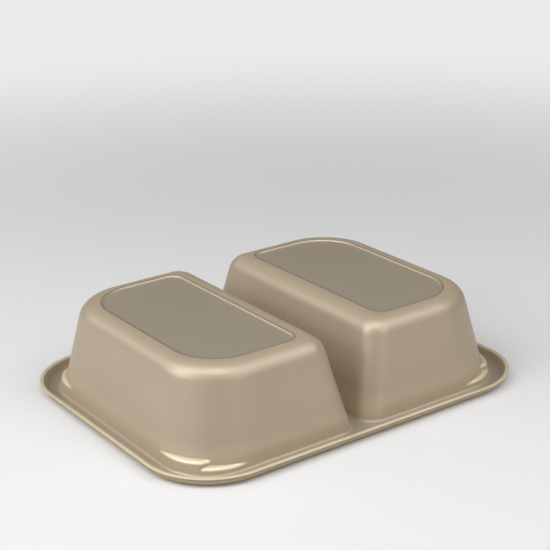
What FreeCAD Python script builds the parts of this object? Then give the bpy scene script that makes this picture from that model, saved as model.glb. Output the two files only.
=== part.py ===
import FreeCAD, Part
import os
import re
import Sketcher

# An ovenable two-compartment food tray, thermoformed from one sheet. Millimetres.
# It lies on its rim with its bases up, so Z = 0 is the sealing face of the flange.
# X runs across the two compartments, Y along the divider between them.
# The half with positive X, one compartment, is modelled and then mirrored.

SIZES = {
    # the whole tray
    "tray_length": 227.0,           # over the lips, across both compartments
    "tray_width": 178.0,            # over the lips, along the divider
    "tray_height": 51.2,            # sealing face to bases
    "sheet": 0.6,                   # thickness of the formed sheet
    # the rim: the flange rolls up into a skirt that ends in a flat trimmed lip
    "rim_corner": 38.0,             # plan radius of the lip at the corners
    "rim_height": 5.4,              # sealing face to lip
    "rim_bend": 3.0,                # radius of the roll, outside
    "rim_lean": 12.0,               # outward lean of the skirt, in degrees
    "lip_width": 1.6,               # skirt to trimmed edge
    "lip_bend": 0.3,                # radius under the lip
    # the flange, from the trimmed edge to the foot of a wall
    "flange_end": 10.1,             # at the short sides of the tray
    "flange_side": 11.3,            # at the long sides
    "divider": 5.4,                 # between the two compartments
    # the walls of a compartment
    "wall_draft": 11.0,             # outer walls, in degrees
    "divider_draft": 13.0,          # wall beside the divider, in degrees
    "outer_corner": 33.0,           # plan radius at the corners of the tray
    "divider_corner": 11.0,         # plan radius beside the divider
    "base_edge": 9.5,               # radius from wall to base
    "foot_edge": 1.8,               # radius from wall to flange
    # the stacking ledges low on each outer corner
    "ledge_corner": 26.2,           # plan radius of the fuller corner under them
    "ledge_high": 7.8,              # height of the ledge towards the short side
    "ledge_low": 4.7,               # height of the ledge towards the long side
    "ledge_split": 53.0,            # where high turns to low, in degrees from X
    "ledge_edge": 2.2,              # radius along the ledges
    # the recessed panel in each base
    "panel_end": 10.5,              # sharp base edge to panel, at the short side
    "panel_side": 9.9,              # the same at the long sides
    "panel_divider": 11.4,          # the same beside the divider
    "panel_corner": 24.6,           # plan radius at the corners of the tray
    "panel_divider_corner": 7.0,    # plan radius beside the divider
    "panel_depth": 0.8,
    "panel_slope": 50.0,            # slope of its step, in degrees
}

LEFT, RIGHT = 1, -1                 # the way a run turns
TINY = 1e-4                         # coordinates closer than this are equal

# Formulas over the sizes. Those of the walls hold at the sealing face.
FOOT_X = "(tray_length / 2 - flange_end)"
FOOT_Y = "(tray_width / 2 - flange_side)"
SKIRT_RISE = "(rim_height - sheet - rim_bend * (1 - sin(rim_lean * 1 deg)))"
RIM_RUN = f"(lip_width + {SKIRT_RISE} * tan(rim_lean * 1 deg) + rim_bend * cos(rim_lean * 1 deg))"
RIM_X = f"(tray_length / 2 - {RIM_RUN})"
RIM_Y = f"(tray_width / 2 - {RIM_RUN})"
RIM_RADIUS = f"(rim_corner - {RIM_RUN})"

doc = FreeCAD.newDocument("food_tray")
sizes = doc.addObject("Spreadsheet::Sheet", "Sizes")
for row, (size_name, size) in enumerate(SIZES.items(), start=1):
    sizes.set(f"A{row}", size_name)
    sizes.set(f"B{row}", str(size))
    sizes.setAlias(f"B{row}", size_name)
doc.recompute()


def formula(text):
    """Point each size named in a formula to its cell in the sheet."""
    return re.sub(r"[a-z]+(_[a-z]+)*", lambda m: f"Sizes.{m[0]}" if m[0] in SIZES else m[0], text)


def value(text):
    return float(sizes.evalExpression(formula(text)))


def bind(item, **formulas):
    for target, text in formulas.items():
        item.setExpression(target, formula(text))


def origin_plane(body, role):
    return next(item for item in body.Origin.OriginFeatures if item.Role == role)


def arc_through(start, end, radius, turn):
    """The shorter arc from start to end that turns left or right."""
    chord = end - start
    sagitta = radius - (radius ** 2 - (chord.Length / 2) ** 2) ** 0.5
    outwards = FreeCAD.Vector(chord.y, -chord.x, 0).normalize() * turn
    return Part.Arc(start, start + chord / 2 + outwards * sagitta, end)


def sketch(body, name, plane, stops, height="0", closed=True):
    """Draw runs from stop to stop. A stop is two formulas, x and y; a round run that
    leads to it adds a radius and a turn. The sheet drives every stop and radius."""
    drawing = body.newObject("Sketcher::SketchObject", name)
    drawing.AttachmentSupport = (origin_plane(body, plane), [""])
    drawing.MapMode = "FlatFace"
    drawing.setExpression("AttachmentOffset.Base.z", formula(height))
    points = [FreeCAD.Vector(value(stop[0]), value(stop[1]), 0) for stop in stops]
    runs = list(zip(points, points[1:], stops[1:]))
    if closed:
        runs.append((points[-1], points[0], stops[0]))
    ends = []
    for start, end, stop in runs:
        if len(stop) == 2:
            index = drawing.addGeometry(Part.LineSegment(start, end))
        else:
            index = drawing.addGeometry(arc_through(start, end, value(stop[2]), stop[3]))
            radius = drawing.addConstraint(Sketcher.Constraint("Radius", index, value(stop[2])))
            drawing.setExpression(f"Constraints[{radius}]", formula(stop[2]))
        first = 1 if drawing.getPoint(index, 1).isEqual(start, TINY) else 2
        ends.append((index, first, 3 - first))
    for before, after in zip(ends, ends[1:] + ends[:1] if closed else ends[1:]):
        drawing.addConstraint(Sketcher.Constraint("Coincident", before[0], before[2], after[0], after[1]))
    places = [(index, first) for index, first, last in ends]
    if not closed:
        places.append((ends[-1][0], ends[-1][2]))
    for (index, position), point, stop in zip(places, points, stops):
        for kind, axis, distance, text in (("DistanceX", -2, point.x, stop[0]),
                                           ("DistanceY", -1, point.y, stop[1])):
            if text == "0":
                drawing.addConstraint(Sketcher.Constraint("PointOnObject", index, position, axis))
            else:
                number = drawing.addConstraint(
                    Sketcher.Constraint(kind, -1, 1, index, position, distance))
                drawing.setExpression(f"Constraints[{number}]", formula(text))
    return drawing


def rounded(left, right, side, left_radius, right_radius):
    """An outline from left to right and from -side to side, with round corners.
    With no left radius its left corners are square."""
    stops = [(f"{right} - {right_radius}", f"-({side})"),
             (right, f"{right_radius} - {side}", right_radius, LEFT),
             (right, f"{side} - {right_radius}"),
             (f"{right} - {right_radius}", side, right_radius, LEFT)]
    if left_radius is None:
        return stops + [(left, side), (left, f"-({side})")]
    return stops + [(f"{left} + {left_radius}", side),
                    (left, f"{side} - {left_radius}", left_radius, LEFT),
                    (left, f"{left_radius} - {side}"),
                    (f"{left} + {left_radius}", f"-({side})", left_radius, LEFT)]


def turning_edges(feature, level):
    """Edges at one height that run along neither X nor Y. A fillet on them follows
    the straight edges that they run into."""
    doc.recompute()
    reach = value(FOOT_X) + TINY
    height = value(level)
    names = []
    for number, edge in enumerate(feature.Shape.Edges, start=1):
        box = edge.BoundBox
        flat = abs(box.ZMin - height) < TINY and abs(box.ZMax - height) < TINY
        if flat and box.XLength > TINY and box.YLength > TINY and box.XMax < reach:
            names.append(f"Edge{number}")
    return names


def fillet(body, name, feature, level, radius):
    rounding = add(body, "Fillet", name, Radius=radius)
    rounding.Base = (feature, turning_edges(feature, level))


def add(body, kind, name, **formulas):
    feature = body.newObject(f"PartDesign::{kind}", name)
    bind(feature, **formulas)
    body.Tip = feature
    return feature


def sweep(body, name, section, path):
    pipe = add(body, "AdditivePipe", name)
    pipe.Profile = section
    pipe.Spine = path


def combine(body, name, tool, kind):
    boolean = add(body, "Boolean", name)
    boolean.setObjects([tool])
    boolean.Type = kind
    return boolean


def corner_block(body, name, wall, inwards, side, foot_y, radius, draft, height):
    """Pad an outline with one round corner along the slant of the two walls that
    meet there, so that the corner keeps its plan radius. Elsewhere the outline
    reaches past the other walls."""
    far = "0" if inwards < 0 else "tray_length / 2"
    outline = sketch(body, name + "Outline", "XY_Plane", [
        (far, f"{-side} * tray_width / 2"),
        (wall, f"{-side} * tray_width / 2"),
        (wall, f"{side} * ({foot_y} - {radius})"),
        (f"{wall} + {inwards} * {radius}", f"{side} * {foot_y}", radius, -inwards * side),
        (far, f"{side} * {foot_y}")])
    block = add(body, "Pad", name, Length=height)
    block.Profile = outline
    block.UseCustomVector = True
    block.AlongSketchNormal = True
    block.Direction = FreeCAD.Vector(0, 0, 1)
    block.setExpression("Direction.x", formula(f"{inwards} * tan({draft} * 1 deg)"))
    block.setExpression("Direction.y", formula(f"{-side} * tan(wall_draft * 1 deg)"))


def ledge(body, name, foot_x, height, edge, path):
    """Sweep the rounded top of a fuller corner along its foot."""
    reach = f"({edge} * tan((90 - wall_draft) * 0.5 deg))"
    top_x = f"({foot_x} - {height} * tan(wall_draft * 1 deg))"
    section = sketch(body, name + "Section", "XZ_Plane", [
        (foot_x, "0"),
        (f"{top_x} + {reach} * sin(wall_draft * 1 deg)",
         f"{height} - {reach} * cos(wall_draft * 1 deg)"),
        (f"{top_x} - {reach}", height, edge, LEFT),
        (f"{foot_x} - ledge_corner / 2", height),
        (f"{foot_x} - ledge_corner / 2", "0")])
    sweep(body, name, section, sketch(body, name + "Path", "XY_Plane", path, closed=False))


def form(name, skin):
    """Half of all that lies under one face of the sheet: walls, base, ledges, panel
    and flange. The upper face has a skin of 0. The lower face lies one sheet inside
    it, so its convex radii are smaller by that and its concave ones larger."""
    body = doc.addObject("PartDesign::Body", name)
    inset = f"({skin}) / cos(wall_draft * 1 deg)"
    foot_x = f"({FOOT_X} - {inset})"
    foot_y = f"({FOOT_Y} - {inset})"
    foot_middle = f"(divider / 2 + ({skin}) / cos(divider_draft * 1 deg))"
    base = f"(tray_height - {skin})"

    # What the slanted blocks of the four corners share is the compartment.
    for side in (1, -1):
        for place, wall, inwards, radius, draft in (
                ("Outer", foot_x, -1, f"(outer_corner - {inset})", "wall_draft"),
                ("Divider", foot_middle, 1, f"(divider_corner - {inset})", "divider_draft")):
            block_name = f"{name}{place}{'Far' if side > 0 else 'Near'}"
            first = side > 0 and inwards < 0
            block = body if first else doc.addObject("PartDesign::Body", block_name + "Block")
            corner_block(block, block_name, wall, inwards, side, foot_y, radius, draft, base)
            if not first:
                walls = combine(body, block_name + "Common", block, "Common")
    fillet(body, name + "BaseEdge", walls, base, f"(base_edge - {skin})")

    # The ledges are the tops of fuller corners, which have the draft of the walls.
    fuller = f"(ledge_corner - {inset})"
    centre_x = f"({FOOT_X} - ledge_corner)"
    centre_y = f"({FOOT_Y} - ledge_corner)"
    edge = f"(ledge_edge - {skin})"
    split = f"(ledge_split * 1 deg - ({skin}) / ledge_corner * 1 rad)"
    for side in (1, -1):
        place = "Far" if side > 0 else "Near"
        straight = [(foot_x, "0"), (foot_x, f"{side} * {centre_y}")]
        ledge(body, f"{name}LowLedge{place}", foot_x, f"(ledge_low - {skin})", edge, straight + [
            (centre_x, f"{side} * {foot_y}", fuller, side),
            (f"{FOOT_X} / 2", f"{side} * {foot_y}")])
        ledge(body, f"{name}HighLedge{place}", foot_x, f"(ledge_high - {skin})", edge, straight + [
            (f"{centre_x} + {fuller} * cos({split})",
             f"{side} * ({centre_y} + {fuller} * sin({split}))", fuller, side)])

    # The step round the panel slopes, so its outline grows a little on the lower face.
    spread = f"({skin}) * tan(panel_slope * 0.5 deg)"
    lean = "tray_height * tan(wall_draft * 1 deg)"
    divider_lean = "tray_height * tan(divider_draft * 1 deg)"
    panel_outline = sketch(body, name + "PanelOutline", "XY_Plane", rounded(
        f"(divider / 2 + {divider_lean} + panel_divider - {spread})",
        f"({FOOT_X} - {lean} - panel_end + {spread})",
        f"({FOOT_Y} - {lean} - panel_side + {spread})",
        f"(panel_divider_corner + {spread})", f"(panel_corner + {spread})"), base)
    panel = add(body, "Pocket", name + "Panel", Length="panel_depth", TaperAngle="panel_slope - 90")
    panel.Profile = panel_outline

    flange_outline = sketch(body, name + "FlangeOutline", "XY_Plane",
                            rounded("0", RIM_X, RIM_Y, None, RIM_RADIUS), f"-({skin})")
    flange = add(body, "Pad", name + "Flange", Length="sheet")
    flange.Profile = flange_outline
    fillet(body, name + "FootEdge", flange, f"(sheet - {skin})", f"(foot_edge + {skin})")
    return body


def rim(body):
    """Sweep the section of the rolled rim round half of the flange."""
    lean_sin = "sin(rim_lean * 1 deg)"
    lean_cos = "cos(rim_lean * 1 deg)"
    bend_reach = "(lip_bend * tan((90 - rim_lean) * 0.5 deg))"
    lip_y = f"(tray_width / 2 - lip_width + {bend_reach})"
    section = sketch(body, "RimSection", "YZ_Plane", [
        (RIM_Y, "0"),
        (f"{RIM_Y} + rim_bend * {lean_cos}", f"rim_bend * (1 - {lean_sin})", "rim_bend", LEFT),
        (f"tray_width / 2 - lip_width - {bend_reach} * {lean_sin}",
         f"rim_height - sheet - {bend_reach} * {lean_cos}"),
        (lip_y, "rim_height - sheet", "lip_bend", RIGHT),
        ("tray_width / 2", "rim_height - sheet"),
        ("tray_width / 2", "rim_height"),
        (lip_y, "rim_height"),
        (f"{lip_y} - (lip_bend + sheet) * {lean_cos}",
         f"rim_height - (lip_bend + sheet) * (1 - {lean_sin})", "(lip_bend + sheet)", LEFT),
        (f"{RIM_Y} + (rim_bend - sheet) * {lean_cos}",
         f"rim_bend - (rim_bend - sheet) * {lean_sin}"),
        (RIM_Y, "sheet", "(rim_bend - sheet)", RIGHT)])
    path = sketch(body, "RimPath", "XY_Plane", [
        ("0", RIM_Y),
        (f"{RIM_X} - {RIM_RADIUS}", RIM_Y),
        (RIM_X, f"{RIM_Y} - {RIM_RADIUS}", RIM_RADIUS, RIGHT),
        (RIM_X, f"{RIM_RADIUS} - {RIM_Y}"),
        (f"{RIM_X} - {RIM_RADIUS}", f"-{RIM_Y}", RIM_RADIUS, RIGHT),
        ("0", f"-{RIM_Y}")], closed=False)
    sweep(body, "Rim", section, path)


tray = form("Upper", "0")
lower = form("Lower", "sheet")
combine(tray, "Hollow", lower, "Cut")
rim(tray)
doc.recompute()
whole = add(tray, "Mirrored", "Whole")
whole.TransformMode = "Whole shape"
whole.MirrorPlane = (origin_plane(tray, "YZ_Plane"), [""])
tray.Label = "tray"
doc.recompute()

for item in doc.Objects:
    if "Invalid" in item.State or "Error" in item.State:
        raise RuntimeError(f"{item.Name} did not build: {item.State}")
if tray.Shape.isNull() or not tray.Shape.isValid() or len(tray.Shape.Solids) != 1:
    raise RuntimeError("the tray is not one valid solid")
os.makedirs("parts", exist_ok=True)
tray.Shape.exportStep(f"parts/{tray.Label}.step")
print(f"tray: {tray.Shape.Volume:.0f} cubic mm, {tray.Shape.BoundBox}")
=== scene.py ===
from math import atan, atan2, cos, degrees, pi, radians, sin, sqrt, tan

import bmesh
import bpy
import numpy as np
from mathutils import Matrix, Vector


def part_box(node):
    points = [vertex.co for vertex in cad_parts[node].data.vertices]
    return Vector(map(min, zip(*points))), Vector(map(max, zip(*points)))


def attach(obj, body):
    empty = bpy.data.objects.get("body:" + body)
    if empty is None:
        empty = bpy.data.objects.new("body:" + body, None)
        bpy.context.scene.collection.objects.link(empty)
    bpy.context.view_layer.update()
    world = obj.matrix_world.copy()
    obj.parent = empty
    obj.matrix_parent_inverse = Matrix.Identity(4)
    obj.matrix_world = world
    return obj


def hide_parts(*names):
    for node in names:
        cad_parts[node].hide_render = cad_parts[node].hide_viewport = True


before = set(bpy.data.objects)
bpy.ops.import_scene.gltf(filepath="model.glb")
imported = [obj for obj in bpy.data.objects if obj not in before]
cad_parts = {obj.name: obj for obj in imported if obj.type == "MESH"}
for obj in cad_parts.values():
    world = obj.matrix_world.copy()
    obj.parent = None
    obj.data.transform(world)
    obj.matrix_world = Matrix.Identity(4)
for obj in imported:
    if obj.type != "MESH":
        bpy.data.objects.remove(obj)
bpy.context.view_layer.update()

# --------------------------------------------------------------------------------------
# The walls and bases. Two open compartments are drawn from one warm sheet of polyester
# into a mould, so every wall leans and every edge is round where the sheet turned. The
# sheet is modelled by its upper face, ring by ring, and gets its thickness at the end.
# --------------------------------------------------------------------------------------
tray_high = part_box("tray")[1]
half_length = tray_high.x                   # over the lip, across both compartments
half_width = tray_high.y                    # over the lip, along the divider
height = tray_high.z                        # sealing face to bases
mm = 0.001
sheet = 0.6 * mm
flange_end = 10.1 * mm                      # trimmed edge to wall at the short sides
flange_side = 11.3 * mm                     # and at the long sides
flange_margin = 0.35 * mm                   # the first level row of a foot and of the rim
divider = 5.4 * mm                          # between the two compartments
wall_draft = tan(radians(11))
divider_draft = tan(radians(13))
outer_radius = 33 * mm                      # plan corners at the outside of the tray
divider_radius = 11 * mm                    # plan corners beside the divider
foot_radius = 1.8 * mm
base_reach = 7.8 * mm                       # level part of a base to its sharp edge

foot_x = half_length - flange_end
foot_y = half_width - flange_side

foot_steps = 7                              # faces up each part of a wall
wall_steps = 9
base_steps = 12
divider_corner_steps = 14                   # faces round a plan corner beside the divider
compartment_sides = [30, 24, 40, 24]        # and along each straight run, from the short side on


class Corner:
    """A station on a round corner, where each ring has a vertex. The corner keeps its
    radius and its centre leans inwards with height, as the walls beside it do."""

    def __init__(self, centre, lean, radius, angle):
        self.centre = Vector(centre)
        self.lean = Vector(lean)
        self.radius = radius
        self.outwards = Vector((cos(angle), sin(angle), 0))
        self.draft = -self.lean.dot(self.outwards)

    def at(self, level, out=0.0):
        """The place at a height, so far out from the leaning wall."""
        place = self.centre + self.lean * level + self.outwards * (self.radius + out)
        return place + Vector((0, 0, level))


class Side:
    """A station on the straight run between two corners."""

    def __init__(self, start, end, share):
        self.start, self.end, self.share = start, end, share
        self.outwards, self.draft = start.outwards, start.draft

    def at(self, level, out=0.0):
        return self.start.at(level, out).lerp(self.end.at(level, out), self.share)


def even(count):
    """Shares that divide a run into so many parts, from 0 to just under 1."""
    return [step / count for step in range(count)]


def even_to_end(count):
    """The same, and 1 for the end of the run."""
    return [*even(count), 1.0]


def stations(corners, corner_shares, side_counts):
    """Stations anticlockwise round four corners, which are (centre, lean, radius)."""
    arcs = []
    for quarter, ((centre, lean, radius), shares) in enumerate(zip(corners, corner_shares)):
        arcs.append([Corner(centre, lean, radius, (quarter - 1 + share) * pi / 2)
                     for share in [*shares, 1.0]])
    loop = []
    for arc, following, count in zip(arcs, arcs[1:] + arcs[:1], side_counts):
        loop += arc
        loop += [Side(arc[-1], following[0], share) for share in even(count)[1:]]
    return loop


def outline(right, left, side, right_radius, left_radius, lean=0.0, left_lean=0.0):
    """The corners of a round-cornered outline, starting at the near right one."""
    x_right, x_left = right - right_radius, left + left_radius
    y_right, y_left = side - right_radius, side - left_radius
    return [((x_right, -y_right, 0), (-lean, lean, 0), right_radius),
            ((x_right, y_right, 0), (-lean, -lean, 0), right_radius),
            ((x_left, y_left, 0), (left_lean, -lean, 0), left_radius),
            ((x_left, -y_left, 0), (left_lean, lean, 0), left_radius)]


def foot_row(station, share):
    """Height, and distance out from the wall, on the round foot of a wall."""
    lean = atan(station.draft)
    turn = share * (pi / 2 - lean)
    level = sheet + foot_radius * (1 - cos(turn))
    seat = foot_radius / cos(lean) - (sheet + foot_radius) * station.draft
    return level, seat - foot_radius * sin(turn) + level * station.draft


def base_row(station, share):
    """The same on the round edge from a wall to its base."""
    lean = atan(station.draft)
    radius = base_reach / tan((pi / 2 - lean) / 2)
    turn = lean + share * (pi / 2 - lean)
    level = height - radius * (1 - sin(turn))
    inset = (height - radius) * station.draft + radius / cos(lean) - radius * cos(turn)
    return level, level * station.draft - inset


# Two numbers on each vertex say how the finish differs there. The first is the gloss of a
# crest, 1 on a crest, which also sets a painted cream highlight there. The second paints
# shade: 1 where the sheet lies level, up to 2 in a painted dark line at the edge of a panel's
# step, and down to -1 in painted shade under the lip on the food side. Both are 0 on a plain wall.
def ring(mesh, places, painted_shade=0.0):
    """A new closed ring of vertices."""
    made = bmesh.ops.create_circle(mesh, segments=len(places), radius=height)["verts"]
    for vert, place in zip(made, places):
        vert.co = place
        vert[mesh.verts.layers.float["painted_shade"]] = painted_shade
    return made


def ring_edges(mesh, verts):
    return [mesh.edges.get(pair) for pair in zip(verts, verts[1:] + verts[:1])]


def grow(mesh, last, places, gloss_and_highlight=0.0, painted_shade=0.0):
    """Extrude a ring to new places, one row of faces wide, and note the finish there."""
    made = set(bmesh.ops.extrude_edge_only(mesh, edges=ring_edges(mesh, last))["geom"])
    following = []
    for vert, place, gloss in zip(last, places, np.broadcast_to(gloss_and_highlight, len(last))):
        neighbours = [edge.other_vert(vert) for edge in vert.link_edges]
        new = next(neighbour for neighbour in neighbours if neighbour in made)
        new.co = place
        new[mesh.verts.layers.float["gloss_and_highlight"]] = gloss
        new[mesh.verts.layers.float["painted_shade"]] = painted_shade
        following.append(new)
    return following


# --------------------------------------------------------------------------------------
# The stacking ledges. Low on each outer corner of the tray the sheet follows a fuller
# corner, whose top is a narrow step: high towards the short side and low towards the
# long one. A tray stacked on this one lands there, and doesn't jam.
# --------------------------------------------------------------------------------------
fuller_radius = 26.2 * mm
ledge_high = 7.8 * mm
ledge_low = 4.7 * mm
ledge_radius = 2.2 * mm
ledge_split = (46, 54)                      # degrees from the short side, outside and at the wall
ledge_zone = 9.4 * mm                       # the rings are level again above this
ledge_root = 0.35 * mm                      # the wall's first row over the high ledge
ledge_shows = 0.3 * mm                      # a ledge is fully glossy, with its full painted highlight, from this width
crest_gloss_and_highlight = np.array([0, 0.5, 1, 1, 1, 1, 1, 0.9, 0.6])   # gloss and painted highlight round the edge, from face to top
ledge_runs = [2, 6, 2, 3, 7, 3, 1, 3]       # rings: wall, edge, top, step, edge, top, root, wall
ring_crowding = 3                           # rings lie no nearer than their mean gap over this

outer_corner_steps = 28                     # faces round a plan corner, apart from the split
split_step = 1                              # degrees, across the split and this far beside it
split_clear = 2.5                           # degrees beside it without other steps

split_angles = range(ledge_split[0] - split_step, ledge_split[1] + split_step + 1, split_step)
split_shares = [angle / 90 for angle in split_angles]
plain_shares = [share for share in even(outer_corner_steps)
                if not ledge_split[0] - split_clear < share * 90 < ledge_split[1] + split_clear]
far_shares = sorted(plain_shares + split_shares)
near_shares = [0.0] + [1 - share for share in reversed(far_shares) if share > 0]


def smooth(share):
    """Turns softly from 0 to 1, and stays level beyond them."""
    share = min(max(share, 0.0), 1.0)
    return share * share * (3 - 2 * share)


def fuller_reach(angle):
    """How far the fuller corner stands out from the wall, at an angle from the short side."""
    shift = outer_radius - fuller_radius
    if min(tan(angle), tan(pi / 2 - angle)) * outer_radius <= shift:
        return outer_radius / max(cos(angle), sin(angle)) - outer_radius
    along = shift * (cos(angle) + sin(angle))
    return along + sqrt(along ** 2 - 2 * shift ** 2 + fuller_radius ** 2) - outer_radius


def ledge(station):
    """How far the low ledge stands out at a station, and the high one over it."""
    if isinstance(station, Side) or station.outwards.x < 0:
        return 0.0, 0.0
    angle = atan2(abs(station.outwards.y), station.outwards.x)
    start, end = ledge_split
    low = fuller_reach(angle)
    return low, low * min(max((end - degrees(angle)) / (end - start), 0), 1)


def round_edge(station, top, reach, wall):
    """Height, distance out, and gloss with its painted highlight, along the round edge from a face to a
    ledge's top.
    """
    lean = atan(station.draft)
    turns = np.linspace(lean, pi / 2, len(crest_gloss_and_highlight))
    levels = top - ledge_radius * (1 - np.sin(turns))
    outs = reach + ledge_radius * (np.cos(turns) - 1 / cos(lean))
    outs -= (top - ledge_radius - levels) * station.draft
    gloss = crest_gloss_and_highlight * smooth((reach - wall) / ledge_shows)
    return [*zip(levels, np.maximum(outs, wall), gloss), (top, wall, 0)]


def ledge_rows(station):
    """The same for each ring from a foot, over both ledges, to the level rings above."""
    low, high = ledge(station)
    levels, outs, gloss = np.transpose([(foot_row(station, 1.0)[0], low, 0),
                                        *round_edge(station, ledge_low, low, high),
                                        *round_edge(station, ledge_high, high, 0),
                                        (ledge_high + ledge_root, 0, 0),
                                        (ledge_zone, 0, 0)])
    lengths = np.concatenate([[0], np.cumsum(np.hypot(np.diff(levels), np.diff(outs)))])
    low_end = len(crest_gloss_and_highlight)              # the last point round the low ledge's edge
    high_end = 2 * low_end + 1              # and round the high one's
    ends = lengths[[0, 1, low_end, low_end + 1, low_end + 2, high_end, high_end + 1, high_end + 2, -1]]
    places = [start + (end - start) * share
              for start, end, count in zip(ends, ends[1:], ledge_runs) for share in even(count)]
    gap = lengths[-1] / (ring_crowding * len(places))
    for number in range(1, len(places)):
        places[number] = max(places[number], places[number - 1] + gap)
    limit = lengths[-1]
    for number in reversed(range(1, len(places))):
        limit = places[number] = min(places[number], limit - gap)
    rows = list(zip(*[np.interp(places, lengths, run) for run in (levels, outs, gloss)]))
    return rows[1:] + [(ledge_zone, 0.0, 0.0)]


# The right compartment grows from the flange up: foot, ledges, wall and round edge
compartment_shares = [near_shares, far_shares, even(divider_corner_steps), even(divider_corner_steps)]
walls = stations(outline(foot_x, divider / 2, foot_y, outer_radius, divider_radius,
                         wall_draft, divider_draft), compartment_shares, compartment_sides)

body = bmesh.new()
body.verts.layers.float.new("gloss_and_highlight")
body.verts.layers.float.new("painted_shade")
# The flange round the foot, and the foot itself, are painted darker and greyer as painted shade
last = ring(body, [station.at(sheet, foot_row(station, 0)[1] + ledge(station)[0] + flange_margin)
                   for station in walls], painted_shade=1.0)
for share in even_to_end(foot_steps):
    rows = [foot_row(station, share) for station in walls]
    last = grow(body, last, [station.at(level, out + ledge(station)[0])
                             for station, (level, out) in zip(walls, rows)], painted_shade=1 - share)
for rows in zip(*[ledge_rows(station) for station in walls]):
    last = grow(body, last, [station.at(level, out) for station, (level, out, _) in zip(walls, rows)],
                gloss_and_highlight=[gloss for _, _, gloss in rows])
for share in even(wall_steps)[1:]:
    levels = [ledge_zone + (base_row(station, 0)[0] - ledge_zone) * share for station in walls]
    last = grow(body, last, [station.at(level) for station, level in zip(walls, levels)])
for share in even_to_end(base_steps):
    last = grow(body, last, [station.at(*base_row(station, share)) for station in walls])

# --------------------------------------------------------------------------------------
# The panels. Each base is pressed in by a shallow panel, so that the tray stands on a
# level ring round it and the wide thin base doesn't rock. Along the ring's inner edge,
# where the sheet folds down to the panel, a dark line of painted shade is drawn, and the
# panel is painted darker as painted shade.
# --------------------------------------------------------------------------------------
panel_end = 10.5 * mm                       # sharp base edge to panel at the short side
panel_side = 9.9 * mm                       # the same at the long sides
panel_divider = 11.4 * mm                   # and beside the divider
panel_radius = 24.6 * mm
panel_divider_radius = 7.0 * mm
panel_depth = 0.8 * mm
panel_crown = 0.15 * mm
panel_step = 0.9 * mm                       # run of its soft step
step_share = 0.3                            # of that run outside the panel's outline
painted_line_width = 0.75 * mm                      # of the painted dark line of shade

level_shares = (0.3, 0.6)                   # rows over the level ring, up to the painted dark line
painted_line_rows = ((1.4, 0), (1, 1.7), (0.5, 1.8))            # widths of the painted dark line from the step, and painted shade
step_painted_shade = (1.6, 0.3, 0, 0, 0, 0, 0, 0, 0, 0.4, 1)  # painted shade down the step: the dark line at its top, the darker panel at its foot
panel_shares = (0.02, 0.08, 0.2, 0.35, 0.5, 0.65, 0.8, 0.92)    # rows from it to the middle


class Facing:
    """A station on the level outline of a panel, where it comes nearest to a place."""

    def __init__(self, corners, place):
        _, right, left, _ = corners
        half = 1 if place.x > (right[0][0] + left[0][0]) / 2 else -1
        side = 1 if place.y > 0 else -1
        (x, y, _), _, radius = right if half > 0 else left
        away = Vector((half * max(half * (place.x - x), 0), side * max(side * place.y - y, 0), 0))
        self.outwards = away.normalized()
        self.edge = place - away + self.outwards * radius

    def at(self, level, out):
        here = self.edge + self.outwards * out
        return Vector((here.x, here.y, level))


base_right = foot_x - height * wall_draft
base_left = divider / 2 + height * divider_draft
panel_corners = outline(base_right - panel_end, base_left + panel_divider,
                        foot_y - height * wall_draft - panel_side, panel_radius, panel_divider_radius)
middle = Vector(((base_right + base_left) / 2, 0, height - panel_depth))
step_out = panel_step * step_share

# The base grows inwards from the round edge: level ring, painted dark line of shade, step and panel, which
# is painted darker as painted shade
edge = [vert.co.copy() for vert in last]
panel = [Facing(panel_corners, place) for place in edge]
for share in level_shares:
    last = grow(body, last, [start.lerp(station.at(height, step_out + painted_line_width), share)
                             for start, station in zip(edge, panel)])
for widths, painted_shade in painted_line_rows:
    last = grow(body, last, [station.at(height, step_out + painted_line_width * widths) for station in panel],
                painted_shade=painted_shade)
for share, painted_shade in zip(even_to_end(len(step_painted_shade) - 1), step_painted_shade):
    level = height - panel_depth * smooth(share)
    last = grow(body, last, [station.at(level, panel_step * (step_share - share)) for station in panel],
                painted_shade=painted_shade)
edge = [vert.co.copy() for vert in last]
for share in panel_shares:
    rise = Vector((0, 0, panel_crown * smooth(share)))
    last = grow(body, last, [start.lerp(middle, share) + rise for start in edge], painted_shade=1.0)
bmesh.ops.contextual_create(body, geom=ring_edges(body, last))

# The left compartment is the right one mirrored
bmesh.ops.mirror(body, geom=body.verts[:] + body.edges[:] + body.faces[:], axis="X", merge_dist=0.0)

# --------------------------------------------------------------------------------------
# The rim. The flange is flat for the lidding film, and its outside rolls up into a
# skirt that ends in a narrow flat lip, where the tray was trimmed from the web.
# --------------------------------------------------------------------------------------
rim_radius = 38 * mm                        # plan corners of the lip
rim_height = 5.4 * mm
rim_bend = 3.0 * mm                         # radius of the roll, on its outside
rim_lean = radians(12)                      # outward lean of the skirt
lip_width = 1.6 * mm
lip_bend = 0.3 * mm                         # radius under the lip
# the lip is glossy, with a painted cream highlight
lip_gloss_and_highlight = 0.6
lip_painted_shade = -1.0                          # painted shade on the food side under the lip

roll_steps = 10                             # faces round the roll and the bend
lip_bend_steps = 6
skirt_rows = ((0.35, 0), (0.65, -0.8))      # shares of the skirt's height, and painted shade on the food side
lip_shares = (0.4, 0.8, 1.0)                # rows over the lip
rim_corner_steps = 32                       # faces round a plan corner
rim_sides = [56, 44, 56, 44]                # and along each straight run

roll = rim_bend - sheet
lip_roll = lip_bend + sheet
lip_start = lip_bend * tan((pi / 2 - rim_lean) / 2) - lip_width
skirt_rise = rim_height - sheet - rim_bend * (1 - sin(rim_lean))
rim_run = lip_width + skirt_rise * tan(rim_lean) + rim_bend * cos(rim_lean)
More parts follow.
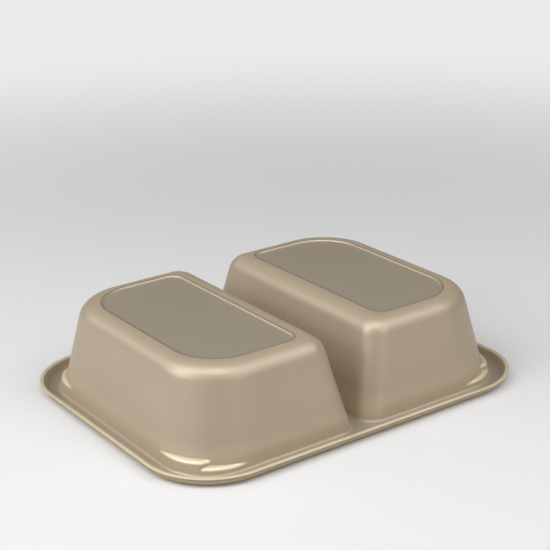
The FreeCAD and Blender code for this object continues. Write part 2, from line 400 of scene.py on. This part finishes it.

# Each row is a height, a distance out from the trimmed edge, gloss with its painted highlight, and painted
# shade
rim_rows = [(sheet, -rim_run - flange_margin, 0, 1)]
for share in even_to_end(roll_steps):
    turn = share * (pi / 2 - rim_lean)
    rim_rows.append((rim_bend - roll * cos(turn), roll * sin(turn) - rim_run, 0, 1 - share))
skirt_foot = Vector(rim_rows[-1][:2])
skirt_top = Vector((rim_height - lip_roll * (1 - sin(rim_lean)), lip_start - lip_roll * cos(rim_lean)))
rim_rows += [(*skirt_foot.lerp(skirt_top, share), 0, painted_shade) for share, painted_shade in skirt_rows]
for share in even_to_end(lip_bend_steps):
    turn = rim_lean + share * (pi / 2 - rim_lean)
    rim_rows.append((rim_height - lip_roll * (1 - sin(turn)), lip_start - lip_roll * cos(turn),
                     lip_gloss_and_highlight * share, lip_painted_shade))
rim_rows += [(rim_height, lip_start * (1 - share), lip_gloss_and_highlight, lip_painted_shade) for share in lip_shares]

rim = stations(outline(half_length, -half_length, half_width, rim_radius, rim_radius),
               [even(rim_corner_steps)] * 4, rim_sides)
last = ring(body, [station.at(*rim_rows[0][:2]) for station in rim], painted_shade=1.0)
for level, out, gloss_and_highlight, painted_shade in rim_rows[1:]:
    last = grow(body, last, [station.at(level, out) for station in rim], gloss_and_highlight=gloss_and_highlight, painted_shade=painted_shade)

# The level flange fills what is left between the rim and the feet of both compartments
flange_edges = [edge for edge in body.edges
                if edge.is_boundary and max(vert.co.z for vert in edge.verts) < rim_height / 2]
bmesh.ops.triangle_fill(body, use_beauty=True, edges=flange_edges, normal=(0, 0, 1))

# --------------------------------------------------------------------------------------
# The tray. All of this is one formed sheet, with nothing fixed to it. What is modelled
# above is its outside, which faces up here, and the sheet gets its thickness inwards.
# --------------------------------------------------------------------------------------
bmesh.ops.remove_doubles(body, verts=body.verts[:], dist=0.001 * mm)
bmesh.ops.recalc_face_normals(body, faces=body.faces[:])
if max(body.faces, key=lambda face: face.calc_center_median().z).normal.z < 0:
    bmesh.ops.reverse_faces(body, faces=body.faces[:])


def place_key(vert):
    return vert.co[:]


def verts_key(element):
    return sorted(vert.index for vert in element.verts)


# The operators leave the mesh in no fixed order, and this gives it one
for elements, key in ((body.verts, place_key), (body.edges, verts_key), (body.faces, verts_key)):
    for index, element in enumerate(sorted(elements, key=key)):
        element.index = index
    elements.sort()

mesh = bpy.data.meshes.new("formed_tray")
body.to_mesh(mesh)
body.free()
mesh.shade_smooth()
tray = bpy.data.objects.new("formed_tray", mesh)
bpy.context.scene.collection.objects.link(tray)
thickness = tray.modifiers.new("sheet", "SOLIDIFY")
thickness.thickness = sheet
thickness.offset = -1
thickness.use_even_offset = True
thickness.material_offset = 1               # the food side has a finish of its own
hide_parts("tray")
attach(tray, "root")


# --------------------------------------------------------------------------------------
# The finish of the outside. Crystallised polyester comes off the tool warm beige and
# satin, a little uneven in tone, with a faint orange-peel. Painted light makes it paler
# low on the walls and near the bases, painted shade makes it darker and greyer where it
# lies level and draws dark lines at the panels' steps, and the crests are glossy with a
# painted cream highlight.
# --------------------------------------------------------------------------------------
class Value:
    """An output of a shader node. Python's operators on it add Math nodes."""

    def __init__(self, tree, socket=None):
        self.tree, self.socket = tree, socket

    def node(self, kind, settings, sockets, output=0):
        """Add a node: its settings first, then the values or links of its sockets."""
        made = self.tree.nodes.new("ShaderNode" + kind)
        for name, setting in settings.items():
            setattr(made, name, setting)
        for name, value in sockets.items():
            if isinstance(value, Value):
                self.tree.links.new(value.socket, made.inputs[name])
            else:
                made.inputs[name].default_value = value
        return Value(self.tree, made.outputs[output])

    def mix(self, start, end):
        """A colour between two others, which a Mix node has at inputs 6 and 7 and output 2."""
        return self.node("Mix", {"data_type": "RGBA"}, {0: self, 6: start, 7: end}, 2)

    def ramp(self, start, end, low, high):
        """Turns softly from low to high while this value goes from start to end."""
        return self.node("MapRange", {"interpolation_type": "SMOOTHSTEP"},
                         {"Value": self, "From Min": start, "From Max": end, "To Min": low, "To Max": high})

    def math(self, operation, a, b):
        return self.node("Math", {"operation": operation}, {0: a, 1: b})

    def __add__(self, other):
        return self.math("ADD", self, other)

    def __sub__(self, other):
        return self.math("SUBTRACT", self, other)

    def __rsub__(self, other):
        return self.math("SUBTRACT", other, self)

    def __mul__(self, other):
        return self.math("MULTIPLY", self, other)

    __radd__, __rmul__ = __add__, __mul__


def material(name):
    """A new material, its surface shader, and a Value that adds nodes to it."""
    made = bpy.data.materials.new(name)
    made.use_nodes = True
    return made, made.node_tree.nodes["Principled BSDF"], Value(made.node_tree)


def feed(shader, name, value):
    value.tree.links.new(value.socket, shader.inputs[name])


beige = (0.400, 0.321, 0.233, 1)
shaded_beige = (0.345, 0.280, 0.208, 1)
# painted light: the paler beige low on the walls and near the bases
painted_light_beige = (0.490, 0.402, 0.285, 1)
# painted shade: where the sheet lies level it is painted darker and greyer
painted_shade_beige = (0.311, 0.271, 0.210, 1)
# painted shade: the dark line at the panels' steps, and under the lip on the food side
painted_shade_dark = (0.170, 0.142, 0.105, 1)
# painted highlight: cream on the crests of the ledges and the lip
highlight_cream = (0.86, 0.78, 0.52, 1)
highlight_cream_share = 0.68                          # of the painted highlight colour where the gloss is 1
painted_light_below = (6 * mm, 18 * mm)              # painted light: the walls are palest below, and not above
painted_light_foot = (0.8 * mm, 6 * mm)              # painted light, less so towards the foot
painted_light_foot_share = 0.3
painted_light_edge = (42 * mm, 50 * mm)              # painted light, paler again up to the base
painted_light_edge_share = 0.4
clouds_scale = 24.0                         # of the uneven tone
satin = 0.38                                # roughness, and how much the clouds add to it
satin_spread = 0.08
peel_share = 0.12                           # of the orange-peel's height to the waves'
relief = 0.4 * mm

finish, surface, nodes = material("formed_polyester")
place = nodes.node("TexCoord", {}, {}, "Object")
clouds = nodes.node("TexNoise", {}, {"Vector": place, "Scale": clouds_scale, "Detail": 3.0,
                                     "Roughness": 0.55})
peel = nodes.node("TexNoise", {}, {"Vector": place, "Scale": 1500.0, "Detail": 2.0})
waves = nodes.node("TexNoise", {}, {"Vector": place, "Scale": 60.0, "Detail": 1.0})
gloss_and_highlight = nodes.node("Attribute", {"attribute_name": "gloss_and_highlight"}, {}, "Fac")
painted_shade = nodes.node("Attribute", {"attribute_name": "painted_shade"}, {}, "Fac")
rise = nodes.node("SeparateXYZ", {}, {"Vector": place}, "Z")
# painted light: paler low on the walls, less so at the foot, and paler up to the base edge
painted_light = (rise.ramp(*painted_light_below, 1.0, 0.0) * rise.ramp(*painted_light_foot, painted_light_foot_share, 1.0)
        + rise.ramp(*painted_light_edge, 0.0, painted_light_edge_share))
tone = clouds.mix(beige, shaded_beige)
tone = painted_light.mix(tone, painted_light_beige)
# painted shade: darker and greyer where the sheet lies level
tone = painted_shade.mix(tone, painted_shade_beige)
# painted shade: a dark line at the top of each panel's step
tone = (painted_shade - 1.0).mix(tone, painted_shade_dark)
# painted highlight: cream where the crests are glossy
tone = (highlight_cream_share * gloss_and_highlight).mix(tone, highlight_cream)
bump = nodes.node("Bump", {}, {"Height": peel * peel_share + waves, "Strength": 0.4, "Distance": relief})
feed(surface, "Base Color", tone)
feed(surface, "Roughness", satin + satin_spread * clouds)
feed(surface, "Coat Weight", gloss_and_highlight)
feed(surface, "Normal", bump)
surface.inputs["IOR"].default_value = 1.8
surface.inputs["Specular IOR Level"].default_value = 1.0
surface.inputs["Specular Tint"].default_value = (1, 0.86, 0.68, 1)
surface.inputs["Coat Roughness"].default_value = 0.3
tray.data.materials.append(finish)

# --------------------------------------------------------------------------------------
# The finish of the food side. The face that was away from the tool is the same polyester,
# duller and without the orange-peel. Its colour is painted paler than the outside, as painted
# light on the strip under the lip, and painted shade darkens it in the fold under the lip.
# --------------------------------------------------------------------------------------
# painted light: paler than the outside's beige, to light the strip under the lip
food_beige = (0.510, 0.408, 0.268, 1)
food_shaded = (0.460, 0.368, 0.242, 1)
dull = 0.45                                 # roughness, and how much the clouds add to it
dull_spread = 0.1

finish, surface, nodes = material("food_side")
place = nodes.node("TexCoord", {}, {}, "Object")
clouds = nodes.node("TexNoise", {}, {"Vector": place, "Scale": clouds_scale, "Detail": 3.0})
# painted shade under the lip, on the food side
painted_under_lip = 0.0 - nodes.node("Attribute", {"attribute_name": "painted_shade"}, {}, "Fac")
feed(surface, "Base Color", painted_under_lip.mix(clouds.mix(food_beige, food_shaded), painted_shade_dark))
feed(surface, "Roughness", dull + dull_spread * clouds)
tray.data.materials.append(finish)

# --------------------------------------------------------------------------------------
# The table. A plain pale top keeps the tray's shadow near it, and passes further off into
# the even pale tone of the backdrop, which only shows and lights nothing.
# --------------------------------------------------------------------------------------
table_half = 3.0
table_grey = (0.80, 0.80, 0.80, 1)
backdrop_grey = (0.82, 0.82, 0.82, 1)
room_grey = (0.05, 0.05, 0.05, 1)           # what lights the tray from all round
table_near = 0.18                           # from the middle: plain table up to here,
table_far = 0.9                             # and plain backdrop from here

floor_mesh = bmesh.new()
bmesh.ops.create_grid(floor_mesh, x_segments=1, y_segments=1, size=table_half)
table = bpy.data.meshes.new("table")
floor_mesh.to_mesh(table)
floor_mesh.free()
floor = bpy.data.objects.new("table", table)
bpy.context.scene.collection.objects.link(floor)

finish, surface, nodes = material("table_top")
surface.inputs["Base Color"].default_value = table_grey
surface.inputs["Roughness"].default_value = 0.5
place = nodes.node("TexCoord", {}, {}, "Object")
from_middle = nodes.node("VectorMath", {"operation": "LENGTH"}, {0: place}, "Value")
seen = nodes.node("LightPath", {}, {}, "Is Camera Ray")
lit = Value(finish.node_tree, surface.outputs["BSDF"])
backdrop = nodes.node("Emission", {}, {"Color": backdrop_grey, "Strength": 1.0})
faded = from_middle.ramp(table_near, table_far, 0.0, 1.0) * seen
feed(finish.node_tree.nodes["Material Output"], "Surface",
     nodes.node("MixShader", {}, {0: faded, 1: lit, 2: backdrop}))
floor.data.materials.append(finish)

world = bpy.data.worlds.new("studio")
bpy.context.scene.world = world
world.use_nodes = True
seen = Value(world.node_tree).node("LightPath", {}, {}, "Is Camera Ray")
feed(world.node_tree.nodes["Background"], "Color", seen.mix(room_grey, backdrop_grey))

# --------------------------------------------------------------------------------------
# The lamps. Large soft ones at the left draw the highlights along the base edges and
# round the near corner, and the others fill in from the front, the right and above.
# --------------------------------------------------------------------------------------
lamp_distance = 1.2


def lamp(name, azimuth, elevation, size, power):
    """A square soft lamp aimed at the tray. Azimuth 0 is in front of the long side."""
    light = bpy.data.lights.new(name, "AREA")
    light.shape = "SQUARE"
    light.size = size
    light.energy = power
    holder = bpy.data.objects.new(name, light)
    bpy.context.scene.collection.objects.link(holder)
    turn, rise = radians(azimuth), radians(elevation)
    away = Vector((sin(turn) * cos(rise), -cos(turn) * cos(rise), sin(rise)))
    holder.location = away * lamp_distance + Vector((0, 0, height / 2))
    holder.rotation_euler = away.to_track_quat("Z", "Y").to_euler()


lamp("key", -97, 28, 0.35, 3.5)
lamp("high key", -98, 54, 0.6, 5.1)
lamp("behind", -138, 34, 0.6, 1.7)
lamp("left", -72, 22, 0.4, 0.9)
lamp("front", 12, 32, 0.9, 3.8)
lamp("right", 45, 50, 0.7, 3.4)
lamp("over", -30, 66, 0.5, 4.6)

# --------------------------------------------------------------------------------------
# The camera. It looks at the tray from the near left and a little above, with a long
# lens, and its small shift only frames the tray.
# --------------------------------------------------------------------------------------
camera_azimuth = radians(-35.308)
camera_elevation = radians(22.998)
camera_roll = radians(-1.198)
camera_distance = 0.757847
aim_depth = 25.4 * mm                       # below the bases, the point that it circles

camera = bpy.data.cameras.new("camera")
camera.sensor_width = 36
camera.lens = 90.711
camera.shift_x = 0.0014
camera.shift_y = 0.1107
holder = bpy.data.objects.new("camera", camera)
bpy.context.scene.collection.objects.link(holder)
away = Vector((sin(camera_azimuth) * cos(camera_elevation),
               -cos(camera_azimuth) * cos(camera_elevation),
               sin(camera_elevation)))
facing = away.to_track_quat("Z", "Y").to_matrix() @ Matrix.Rotation(camera_roll, 3, "Z")
holder.location = away * camera_distance + Vector((0, 0, height - aim_depth))
holder.rotation_euler = facing.to_euler()
bpy.context.scene.camera = holder
bpy.context.scene.view_settings.view_transform = "Standard"
